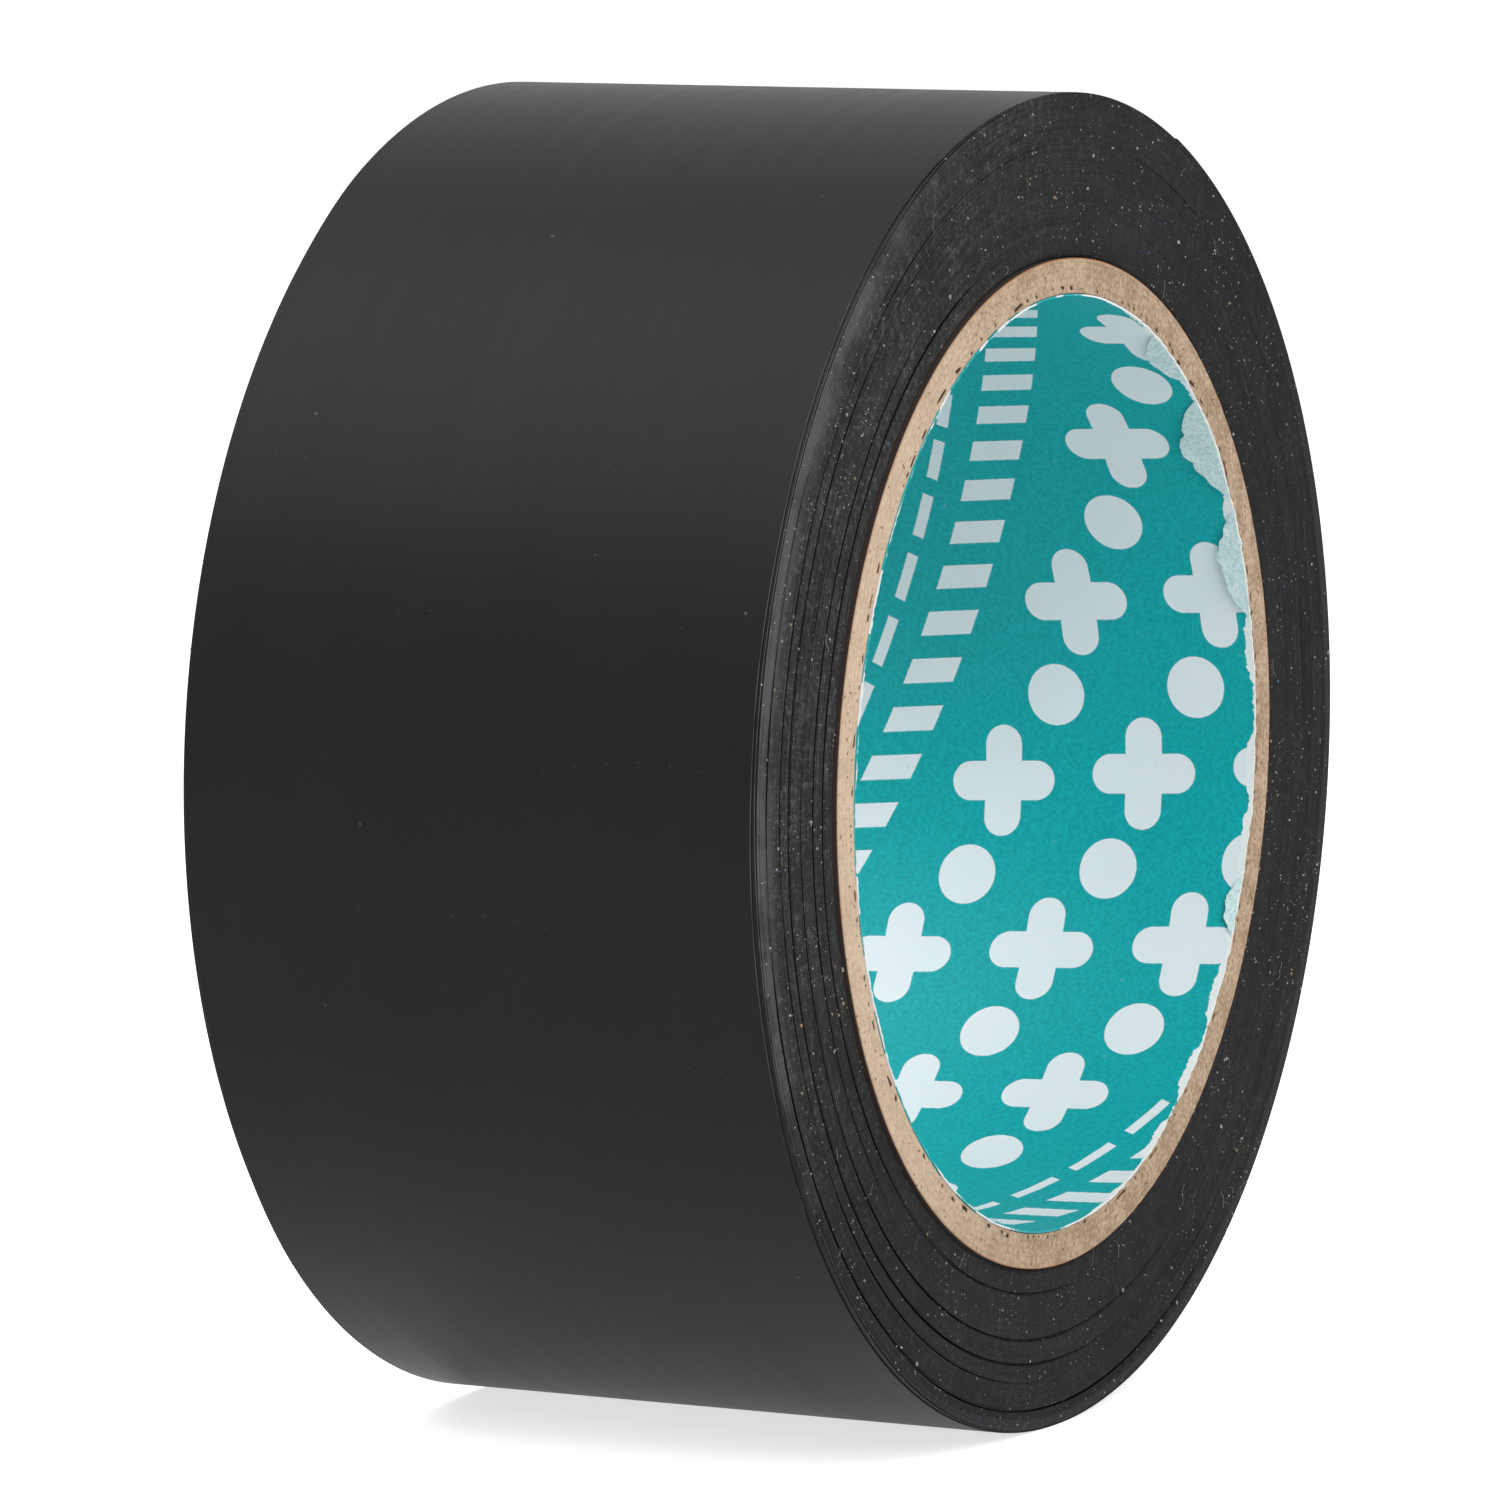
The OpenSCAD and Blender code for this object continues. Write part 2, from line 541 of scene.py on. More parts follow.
@dataclass(frozen=True)
class FilmFinish(Finish):
    """The satin back of the PVC film, with faint streaks along the winding and rows of tiny dimples."""

    dark: tuple = linear(19, 19, 20)
    light: tuple = linear(24, 24, 25)
    dust: tuple = linear(120, 116, 110)
    roughness: float = 0.43
    sheen: float = 0.11
    dimple_rows: int = 29
    dimple_step: float = 2.75 * MM
    dimple_r: float = 0.13 * MM
    round_way: float = 0.3424

    def _dimples(self, g: Graph, place: Input) -> NodeSocket:
        """Rows of dimples across the tape, a whole number of rows round the roll, some of them missing."""
        x, y, z = g.split(place)
        rows = g.times(g.maths("ARCTAN2", z, x), self.dimple_rows / FULL_TURN)
        sway = g.times(g.noise(place, 40.0, 1), 0.6)
        row = g.plus(rows, sway)
        from_row = g.minus(g.maths("WRAP", row, 1.0, 0.0), 0.5)
        from_row = g.times(from_row, self.round_way / self.dimple_rows)
        step = g.maths("WRAP", y, self.dimple_step, 0.0)
        from_step = g.minus(step, self.dimple_step / 2)
        away = g.length(from_row, from_step)
        kept = g.rise(g.noise(place, 75.0, 2), 0.47, 0.56)
        return g.times(g.rise(away, self.dimple_r, 0.4 * self.dimple_r), kept)

    def build(self, effects: Effects) -> Material:
        """Streaks set the tone, the gloss and a shallow relief; fine grain breaks up the gloss."""
        material, g, shader = self.start()
        place = g.place()
        streaks = g.group(effects.streaks, Place=place, Along=0.9, Across=900.0)[0]
        broad = g.group(effects.streaks, Place=place, Along=2.2, Across=90.0)[0]
        grain = g.noise(place, 5200.0, 3, 0.6)
        dust = g.group(effects.dust, Place=place, Spacing=1.3 * MM, Share=0.006)[0]
        dimples = self._dimples(g, place)
        mottle = g.plus(g.times(broad, 0.4), g.times(grain, 0.6))
        tone = g.mix(g.rise(mottle, 0.35, 0.65), self.dark, self.light)
        tone = g.mix(g.times(dimples, 0.1), tone, self.dust)
        relief = g.plus(g.times(streaks, 0.7), g.times(grain, 0.3))
        relief = g.minus(relief, dimples)
        self.wire(
            g, shader,
            Base_Color=g.mix(g.times(dust, 0.3), tone, self.dust),
            Roughness=g.rise(g.plus(streaks, g.times(broad, 0.5)), 0.4, 1.1,
                             self.roughness - 0.025, self.roughness + 0.03),
            Specular_IOR_Level=self.sheen,
            Normal=self.bump(g, relief, 0.004 * MM, 0.2),
        )
        return material


@dataclass(frozen=True)
class EdgeFinish(Finish):
    """The cut edges of the turns: matte and scuffed, with fine rings and a smoother band outermost."""

    outer_r: float = 0.05
    dark: tuple = linear(13, 13, 14)
    light: tuple = linear(86, 86, 88)
    smooth: tuple = linear(47, 48, 50)
    dust: tuple = linear(128, 121, 110)
    band_width: float = 1.6 * MM

    def build(self, effects: Effects) -> Material:
        """Scuffs, crumbs and slitting marks across the turns set the tone; rings run along them."""
        material, g, shader = self.start()
        place = g.place()
        x, _, z = g.split(place)
        radius = g.length(x, z)
        rings = g.group(effects.streaks, Place=place, Along=3.5, Across=5200.0)[0]
        marks = g.group(effects.streaks, Place=place, Along=150.0, Across=420.0)[0]
        scuffs = g.noise(place, 3600.0, 4, 0.75)
        crumbs = g.noise(place, 1300.0, 4, 0.7)
        patches = g.rise(g.noise(place, 260.0, 3), 0.35, 0.65, 0.5, 0.9)
        # The patches are made stronger towards the upper left, so the face is painted lighter there.
        left_side = g.rise(g.times_plus(z, -0.5, x), -15 * MM, -45 * MM, 0.68, 1.85)
        patches = g.times(patches, left_side)
        dust = g.group(effects.dust, Place=place, Spacing=0.42 * MM, Share=0.1)[0]
        share = g.times(g.rise(rings, 0.35, 0.7), 0.16)
        for marking, full_at, weight in ((marks, 0.76, 0.18), (scuffs, 0.74, 0.45), (crumbs, 0.68, 0.34)):
            share = g.times_plus(g.rise(marking, 0.5, full_at), weight, share)
        tone = g.mix(g.times(share, patches), self.dark, self.light)
        edge = g.minus(radius, g.times(g.noise(place, 90.0, 2), 0.8 * MM))
        band_r = self.outer_r - self.band_width
        outermost = g.rise(edge, band_r, band_r + 0.2 * self.band_width, 0.0, 0.8)
        # The outermost band is painted an even grey, only towards the lower right.
        lower_right_side = g.rise(g.minus(x, z), -5 * MM, 45 * MM)
        outermost = g.times(outermost, lower_right_side)
        ridges = g.rise(edge, self.outer_r - 4.2 * MM, self.outer_r - 1.2 * MM)
        ridges = g.times(ridges, g.rise(g.times_plus(z, -0.3, x), -28 * MM, -54 * MM))
        uneven = g.times_plus(rings, 1.2, g.times_plus(scuffs, 0.8, patches))
        ridges = g.times(ridges, g.rise(uneven, 1.35, 2.6, 0.0, 0.75))
        tone = g.mix(ridges, g.mix(outermost, tone, self.smooth), self.light)
        height = g.plus(g.times(rings, 0.6), g.times_plus(crumbs, 1.6, scuffs))
        self.wire(
            g, shader,
            Base_Color=g.mix(g.times(dust, 0.5), tone, self.dust),
            Roughness=g.rise(scuffs, 0.3, 0.7, 0.55, 0.8),
            Specular_IOR_Level=0.13,
            Normal=self.bump(g, height, 0.035 * MM, 0.7),
        )
        return material


@dataclass(frozen=True)
class AdhesiveFinish(Finish):
    """The sticky side of the film: black and wet-looking, with pulled threads of adhesive."""

    dark: tuple = linear(24, 24, 25)
    light: tuple = linear(38, 37, 36)

    def build(self, effects: Effects) -> Material:
        """Coarse wrinkles across the tape set the relief and the gloss."""
        material, g, shader = self.start()
        place = g.place()
        wrinkles = g.noise(place, 700.0, 5, 0.65)
        streaks = g.group(effects.streaks, Place=place, Along=6.0, Across=500.0)[0]
        self.wire(
            g, shader,
            Base_Color=g.mix(g.rise(wrinkles, 0.35, 0.7), self.dark, self.light),
            Roughness=g.rise(wrinkles, 0.3, 0.7, 0.16, 0.34),
            Normal=self.bump(g, g.plus(wrinkles, g.times(streaks, 0.5)), 0.02 * MM, 0.5),
        )
        return material


@dataclass(frozen=True)
class BoardFinish(Finish):
    """Grey-brown core board: matted fibres, dark flecks, and brown pits where the mesh is dented."""

    pale: tuple = linear(191, 168, 142)
    paler_side: tuple = linear(224, 202, 178)
    brown: tuple = linear(152, 127, 101)
    fleck: tuple = linear(92, 68, 52)
    pit: tuple = linear(58, 36, 28)
    rim: tuple | None = None
    gap_shade: tuple = linear(44, 32, 26)
    rim_r: float = 1.0
    end_at: float = 1.0

    def build(self, effects: Effects) -> Material:
        """Fibres mix the two tones, paler towards -X; flecks, pits and a cover ply's rim go over, and painted
        shade darkens the cover's wall in the gap beside the tape.
        """
        material, g, shader = self.start()
        place = g.place()
        x, y, z = g.split(place)
        fibres = g.group(effects.fibres, Place=place, Fineness=1500.0)
        clumps = g.noise(place, 2300.0, 3, 0.65)
        broad = g.noise(place, 420.0, 2)
        tone = g.mix(g.rise(g.times_plus(broad, 0.5, clumps), 0.58, 0.92), self.brown, self.pale)
        # The board is painted paler towards -X.
        tone = g.mix(g.rise(x, -2 * MM, -34 * MM, 0.0, 0.42), tone, self.paler_side)
        tone = g.mix(g.times(fibres["Flecks"], 0.7), tone, self.fleck)
        holes = g.group(effects.dust, Place=place, Spacing=0.85 * MM, Share=0.7)[0]
        tone = g.mix(g.times(holes, 0.92), tone, self.pit)
        if self.rim:
            radius = g.length(x, z)
            ragged = g.times_plus(clumps, 0.1 * MM, radius)
            strength = g.rise(x, -30 * MM, 5 * MM, 0.3, 1.0)
            at_rim = g.rise(ragged, self.rim_r - 0.1 * MM, self.rim_r + 0.02 * MM, 0.0, strength)
            tone = g.mix(at_rim, tone, self.rim)
            # The cover's wall more than about 0.1 mm below its end is painted near black: painted shade in the gap
            # between the core and the tape.
            depth = g.minus(self.end_at, g.maths("ABSOLUTE", y))
            tone = g.mix(g.rise(depth, 0.09 * MM, 0.2 * MM), tone, self.gap_shade)
        tone = g.mix(g.rise(g.number("pit"), 0.12, 0.5), tone, self.pit)
        self.wire(
            g, shader,
            Base_Color=tone,
            Roughness=g.rise(fibres["Fibres"], 0.2, 0.8, 0.82, 0.95),
            Normal=self.bump(g, g.plus(fibres["Fibres"], clumps), 0.05 * MM, 0.6),
        )
        return material


@dataclass(frozen=True)
class PrintFinish(Finish):
    """The liner's print: pale crosses, discs and rows of bars along a teal paper strip.

    The piece's Strip map gives the place along and across the paper strip, in units of 100 mm. Each
    row of bars has its middle, half height, step, half width and slant.
    """

    rim_at: float = 0.0257
    teal: tuple = linear(10, 171, 175)
    deep: tuple = linear(4, 154, 158)
    ink_gap: tuple = linear(230, 235, 238)
    paper: tuple = linear(240, 241, 240)
    rubbed: tuple = linear(150, 196, 198)
    cell: tuple[float, float] = (17.5, 11.5)
    rows: int = 3
    repeat: float = 47.5
    cross: tuple[float, float] = (3.1, 1.7)
    disc: float = 2.65
    stripes: tuple[tuple[float, ...], ...] = ((39.2, 2.1, 4.7, 1.2, 0.55), (44.2, 0.5, 6.5, 2.3, 0.0))

    def _cell(self, g: Graph, along: Input, row_place: Input) -> list[NodeSocket]:
        """Place within the nearest cell of the lattice, in mm from its middle; each row is shifted on."""
        wide, high = self.cell
        row = g.maths("FLOOR", g.maths("DIVIDE", row_place, high))
        moved = g.times_plus(row, wide * 0.37, along)
        x = g.minus(g.maths("WRAP", moved, wide, 0.0), wide / 2)
        y = g.minus(g.maths("WRAP", row_place, high, 0.0), high / 2)
        return [x, y]

    @staticmethod
    def _turned(g: Graph, x: Input, y: Input, degrees: float) -> list[NodeSocket]:
        """Turns a place about the middle of its cell."""
        c, s = math.cos(math.radians(degrees)), math.sin(math.radians(degrees))
        return [g.plus(g.times(x, c), g.times(y, s)),
                g.minus(g.times(y, c), g.times(x, s))]

    @staticmethod
    def _bar(g: Graph, x: Input, y: Input, half: float, radius: float) -> NodeSocket:
        """Distance outside a round-ended bar: how far a place is from its middle line, less its radius."""
        past = g.maths("MAXIMUM", g.minus(g.maths("ABSOLUTE", x), half), 0.0)
        return g.minus(g.length(past, y), radius)

    def _shape(self, g: Graph, along: Input, across: Input) -> NodeSocket:
        """Distance outside the nearest motif or stripe, in mm."""
        row_place = g.maths("WRAP", across, self.repeat, 0.0)
        x, y = self._cell(g, along, row_place)
        cx, cy = self._turned(g, g.plus(x, 4.0), g.minus(y, 0.3), 27)
        shape = g.maths("MINIMUM", self._bar(g, cx, cy, *self.cross), self._bar(g, cy, cx, *self.cross))
        dot = self._bar(g, g.minus(x, 4.9), g.plus(y, 0.9), 0.0, self.disc)
        shape = g.maths("MINIMUM", shape, dot)
        past_rows = g.minus(row_place, self.rows * self.cell[1])
        shape = g.maths("MAXIMUM", shape, past_rows)
        for middle, half, step, half_bar, slant in self.stripes:
            off = g.minus(row_place, middle)
            leaning = g.times_plus(off, slant, along)
            bar = g.maths("ABSOLUTE", g.minus(g.maths("WRAP", leaning, step, 0.0), step / 2))
            stripe = g.minus(g.maths("ABSOLUTE", off), half)
            bars = g.maths("MAXIMUM", stripe, g.minus(bar, half_bar))
            shape = g.maths("MINIMUM", shape, bars)
        return shape

    def _bare(self, g: Graph, place: Input) -> NodeSocket:
        """Where the print is torn off: within a ragged reach of either rim, wider on the +X side."""
        x, y, z = g.split(place)
        round_rim = g.join(x, 0.0, z)
        wide = g.rise(g.noise(round_rim, 170.0, 2), 0.36, 0.6, 0.25, 0.85)
        side = g.rise(x, -6 * MM, 24 * MM, 0.1, 1.0)
        ragged = g.noise(g.join(x, g.times(y, 0.6), z), 1500.0, 4, 0.7)
        reach = g.times(g.plus(wide, g.minus(ragged, 0.55)), side)
        reach = g.times_plus(reach, MM, -0.05 * MM)
        depth = g.minus(self.rim_at, g.maths("ABSOLUTE", y))
        return g.rise(g.minus(reach, depth), -0.03 * MM, 0.05 * MM)

    def build(self, effects: Effects) -> Material:
        """The nearest motif's distance gives the unprinted shape; worn and torn paper go over it."""
        material, g, shader = self.start()
        strip = g.add("ShaderNodeUVMap", uv_map="Strip").outputs[0]
        along, across, _ = g.split(g.vector("MULTIPLY", strip, (100.0, 100.0, 0.0)))
        place = g.place()
        grain = g.group(effects.fibres, Place=place, Fineness=2600.0)
        uneven = g.times_plus(grain["Fibres"], 0.1, self._shape(g, along, across))
        pale = g.rise(uneven, 0.1, 0.0)
        cloud = g.rise(g.noise(place, 2600.0, 3, 0.7), 0.35, 0.65)
        tone = g.mix(pale, g.mix(cloud, self.deep, self.teal), self.ink_gap)
        patches = g.rise(g.noise(place, 240.0, 5, 0.7), 0.66, 0.8)
        missing = g.group(effects.dust, Place=place, Spacing=1.3 * MM, Share=0.05)[0]
        worn = g.maths("MAXIMUM", g.times(patches, 0.3), g.times(missing, 0.25))
        tone = g.mix(worn, tone, self.rubbed)
        bare = self._bare(g, place)
        creases = g.noise(g.vector("MULTIPLY", strip, (14.0, 5.0, 0.0)), 1.0, 2, 0.5)
        height = g.times_plus(creases, 4.0, grain["Fibres"])
        self.wire(
            g, shader,
            Base_Color=g.mix(bare, tone, self.paper),
            Roughness=g.rise(bare, 0.0, 1.0, 0.5, 0.92),
            Specular_IOR_Level=0.22,
            Normal=self.bump(g, height, 0.02 * MM, 0.35),
        )
        return material


@dataclass(frozen=True)
class PaperFinish(Finish):
    """Torn white paper, soft and fibrous."""

    pale: tuple = linear(214, 228, 228)
    shade: tuple = linear(150, 188, 190)

    def build(self, effects: Effects) -> Material:
        """Fibres mix the two whites and raise the nap."""
        material, g, shader = self.start()
        fibres = g.group(effects.fibres, Place=g.place(), Fineness=3000.0)["Fibres"]
        self.wire(
            g, shader,
            Base_Color=g.mix(g.rise(fibres, 0.25, 0.65), self.shade, self.pale),
            Roughness=g.rise(fibres, 0.2, 0.8, 0.85, 0.97),
            Normal=self.bump(g, fibres, 0.02 * MM, 0.4),
        )
        return material


@dataclass(frozen=True)
class FluffFinish(Finish):
    """Dust grains and lint, in the tint that each one's mesh carries."""

    def build(self, effects: Effects) -> Material:
        """The tint, made uneven by fine noise."""
        material, g, shader = self.start()
        tint = g.add("ShaderNodeAttribute", attribute_name="tint").outputs["Color"]
        uneven = g.rise(g.noise(g.place(), 9000.0, 3), 0.3, 0.7)
        self.wire(g, shader, Base_Color=g.mix(uneven, g.mix(0.35, tint, (0, 0, 0, 1)), tint), Roughness=0.9)
        return material


# ---------------------------------------------------------------- the wound tape


@dataclass(frozen=True)
class Winding:
    """How the edges of the wound turns wander in and out of one face of the roll."""

    sizes: RollSizes
    face: Face
    turn_wander: float = 0.018 * MM
    band_wander: float = 0.03 * MM
    outer_wander: float = 0.07 * MM
    groove_depth: float = 0.5 * MM
    groove_turns: float = 0.72
    core_recess: float = 0.6 * MM
    left_side: float = math.radians(196)

    def inset(self, turns: np.ndarray) -> np.ndarray:
        """How far the edge lies inside the face, along the whole strip.

        It adds noise from turn to turn, broader noise over several turns, a groove at the end of
        each pack whose depth fades round the roll, and a recess beside the core.

        Args:
            turns: Turns wound since the core.

        Returns:
            The inset at each place, positive into the roll.
        """
        noise = Noise(11 if self.face is Face.FRONT else 29)
        angle = self.sizes.angle_at(turns)
        ends = self.sizes.pack_ends
        shifts = np.array(self.sizes.pack_shift) * -self.face.value
        inset = -np.interp(turns, np.concatenate([[0], ends]) + 0.5, np.concatenate([shifts[:1], shifts]))
        inset = inset + self.turn_wander * noise.layers(turns / 0.43)
        inset = inset + self.band_wander * noise.at(turns / 2.6, 5.5)
        worn = np.cos(angle - self.left_side)
        near_outside = np.exp(-(ends[-1] + 1 - turns) / 7) * ease(worn, -0.2, 0.7)
        inset = inset + self.outer_wander * near_outside * (1 + noise.layers(turns / 1.3, 8.5))
        for k, end in enumerate(ends):
            drift = 1.3 * noise.round_axis(angle, 6, 3.1 * k)
            there = ease(noise.round_axis(angle, 7, 40 + 2.7 * k) + 0.5 * worn, 0.02, 0.42)
            from_groove = (turns - end - drift) / self.groove_turns
            inset = inset + self.groove_depth * there * np.exp(-(from_groove**2))
        beside_core = 0.5 + 0.25 * noise.round_axis(angle, 5, 90) + 0.25 * np.cos(angle - math.radians(150))
        return inset + self.core_recess * beside_core * np.exp(-turns / 2.2)


@dataclass
class WoundStrip:
    """A stretch of the wound tape as one strip, between two counts of turns."""

    sizes: RollSizes
    name: str
    from_turns: float
    to_turns: float
    steps_per_turn: int = 360
    columns: int = 0
    corner: float = 0.035 * MM
    edge_round: float = 0.03 * MM

    def profiles(self, turns: np.ndarray, lift: np.ndarray | float = 0.0) -> np.ndarray:
        """Cross-sections of the tape, from the front edge to the back on top and back again below.

        Each is a flat rectangle whose corners are cut, with any further columns spread evenly
        between. The tread is made a little uneven by noise.

        Args:
            turns: Where each cross-section is.
            lift: How far each stands off the turn below.

        Returns:
            Points, as stations by profile points by 3.
        """
        s = self.sizes
        inner = (s.wound_r(turns) + lift)[:, None]
        front = (-s.tape_half + Winding(s, Face.FRONT).inset(turns))[:, None]
        back = (s.tape_half - Winding(s, Face.BACK).inset(turns))[:, None]
        middle = np.linspace(0, 1, self.columns + 2)[None, :]
        flat = front + self.edge_round + (back - front - 2 * self.edge_round) * middle
        top_r = np.broadcast_to(inner + s.thickness, flat.shape)
        low_r = np.broadcast_to(inner, flat.shape)
        if self.columns:
            angle = s.angle_at(turns)[:, None]
            uneven = Noise(53).layers(np.cos(angle) * 2.4 + 9, flat / (9 * MM), np.sin(angle) * 2.4)
            top_r = top_r + 0.012 * MM * uneven
        r = np.concatenate([inner + s.thickness - self.corner, top_r, inner + s.thickness - self.corner,
                            inner + self.corner, low_r[:, ::-1], inner + self.corner], axis=1)
        y = np.concatenate([front, flat, back, back, flat[:, ::-1], front], axis=1)
        return on_roll(r, s.angle_at(turns)[:, None], y)

    def sides(self) -> np.ndarray:
        """Material of each profile side: 0 film on top, 1 at the edges, 2 adhesive below."""
        span = self.columns + 1
        return np.array([1] + [0] * span + [1, 1, 1] + [2] * span + [1, 1])

    def build(self, materials: list[Material]) -> Object:
        """Carries the cross-sections along the spiral."""
        count = round((self.to_turns - self.from_turns) * self.steps_per_turn) + 1
        turns = np.linspace(self.from_turns, self.to_turns, count)
        return self.carry(self.profiles(turns), materials)

    def carry(self, profiles: np.ndarray, materials: list[Material]) -> Object:
        """Makes the strip's object from its cross-sections."""
        return Sheet.carried(profiles, ring=False, finish=self.sides()).to_object(self.name, *materials)


@dataclass
class TapePacks:
    """The turns below the outer one, in the packs that the gaps in the face mark off."""

    sizes: RollSizes

    def build(self, materials: list[Material]) -> None:
        """Builds each pack in place of its plain solid."""
        start = 0.0
        for k, end in enumerate(self.sizes.pack_ends, start=1):
            pack = WoundStrip(self.sizes, f"wound_pack_{k}", start, float(end)).build(materials)
            settle(pack, f"tape_wraps_{k}")
            start = float(end)


@dataclass
class OuterTurn:
    """The last turn, and the free end that lifts off it."""

    sizes: RollSizes
    base: float = 3.0 * MM
    bend: float = 2.4 * MM
    tip_lift: float = 0.03 * MM
    steps_per_turn: int = 720
    end_stations: int = 160
    columns: int = 24

    @property
    def last(self) -> float:
        """Turns wound where the tape ends."""
        return float(self.sizes.pack_ends[-1]) + 1

    @property
    def hinge(self) -> float:
        """Turns wound where the free end hinges."""
        return self.last - (self.sizes.end_angle - self.sizes.hinge_angle) / FULL_TURN

    @property
    def join(self) -> float:
        """Turns wound where the free end's piece takes over, a little before the hinge."""
        return self.hinge - self.base / self.sizes.outer_r / FULL_TURN

    def _free_end(self, materials: list[Material]) -> Object:
        """The end of the strip: it rises off the turn below from the hinge to its cut edge."""
        strip = WoundStrip(self.sizes, "free_end", self.join, self.last, columns=self.columns)
        turns = np.linspace(self.join, self.last, self.end_stations)
        lift = self.tip_lift * ease(turns, self.hinge, self.last) ** 2
        return strip.carry(strip.profiles(turns, lift), materials)

    def build(self, materials: list[Material]) -> None:
        """Builds the turn as far as the join, then the free end."""
        turn = WoundStrip(self.sizes, "outer_turn", self.last - 1, self.join,
                          self.steps_per_turn, self.columns)
        settle(turn.build(materials), "tape_outer_wrap")
        end = self._free_end(materials)
        hinge = Vector(self.sizes.hinge)
        a = self.sizes.hinge_angle
        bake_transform(end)
        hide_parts("tape_free_end")


# ---------------------------------------------------------------- the core


@dataclass
class BoardPly:
    """One ply of the core: a tube whose cut ends are rough, with pits along the glue line."""

    sizes: RollSizes
    name: str
    node: str
    inner_r: float
    outer_r: float
    seed: int
    pitted: bool = False
    stations: int = 900
    rows: int = 6
    nap: float = 0.05 * MM
    pit_depth: float = 0.3 * MM

    def _end_face(self, face: Face, angle: np.ndarray) -> tuple[np.ndarray, np.ndarray, np.ndarray]:
        """Radius, place and pit of each point of one cut end.

        The end is lowered by noise, rounded at both edges, and dented where a fine noise round the
        ring is high.
        """
        share = np.linspace(0, 1, self.rows)[None, :]
        r = self.inner_r + (self.outer_r - self.inner_r) * share
        noise = Noise(self.seed + face.value)
        rough = noise.layers(r * np.cos(angle) / (0.5 * MM), r * np.sin(angle) / (0.5 * MM), count=3)
        rounded = 0.06 * MM * (2 * np.abs(share - 0.5)) ** 6
        pit = np.zeros_like(rough)
        if self.pitted:
            spots = noise.at(self.inner_r * angle / (0.55 * MM), 3.0, 1.0)
            where = 0.6 + 0.3 * noise.at(self.inner_r * angle / (1.7 * MM), 5.0, 2.0)
            pit = ease(spots, 0.3, 0.6) * np.exp(-(((share - where) / 0.22) ** 2))
        low = self.nap * (0.5 + 0.5 * rough) + rounded + self.pit_depth * pit
        return np.broadcast_to(r, rough.shape), face.value * (self.sizes.core_half - low), pit

    def build(self, material: Material, slot: Slot) -> None:
        """Carries the ply's outline round the axis."""
        angle = np.linspace(0, FULL_TURN, self.stations, endpoint=False)[:, None]
        front = self._end_face(Face.FRONT, angle)
        back = self._end_face(Face.BACK, angle)
        r, y, pit = (closed(f, b) for f, b in zip(front, back))
        sheet = Sheet.carried(on_roll(r, angle, y), ring=True)
        sheet.numbers["pit"] = pit.reshape(-1)
        settle(sheet.to_object(self.name, material), self.node)


@dataclass
class Core:
    """The core: four board plies and the ply that the tape is wound on."""

    sizes: RollSizes

    def build(self, board: Material, cover: Material) -> None:
        """Builds the plies from the liner outwards."""
        inner = self.sizes.liner_r
        for k, outer in enumerate(self.sizes.ply_r, start=1):
            ply = BoardPly(self.sizes, f"board_ply_{k}", f"core_ply_{k}", inner, outer, 60 + 4 * k)
            ply.pitted = k == 1
            ply.build(board, Slot.BOARD)
            inner = outer
        cover_ply = BoardPly(self.sizes, "cover_ply", "core_outer_ply", inner, self.sizes.core_r, 90)
        cover_ply.build(cover, Slot.COVER)


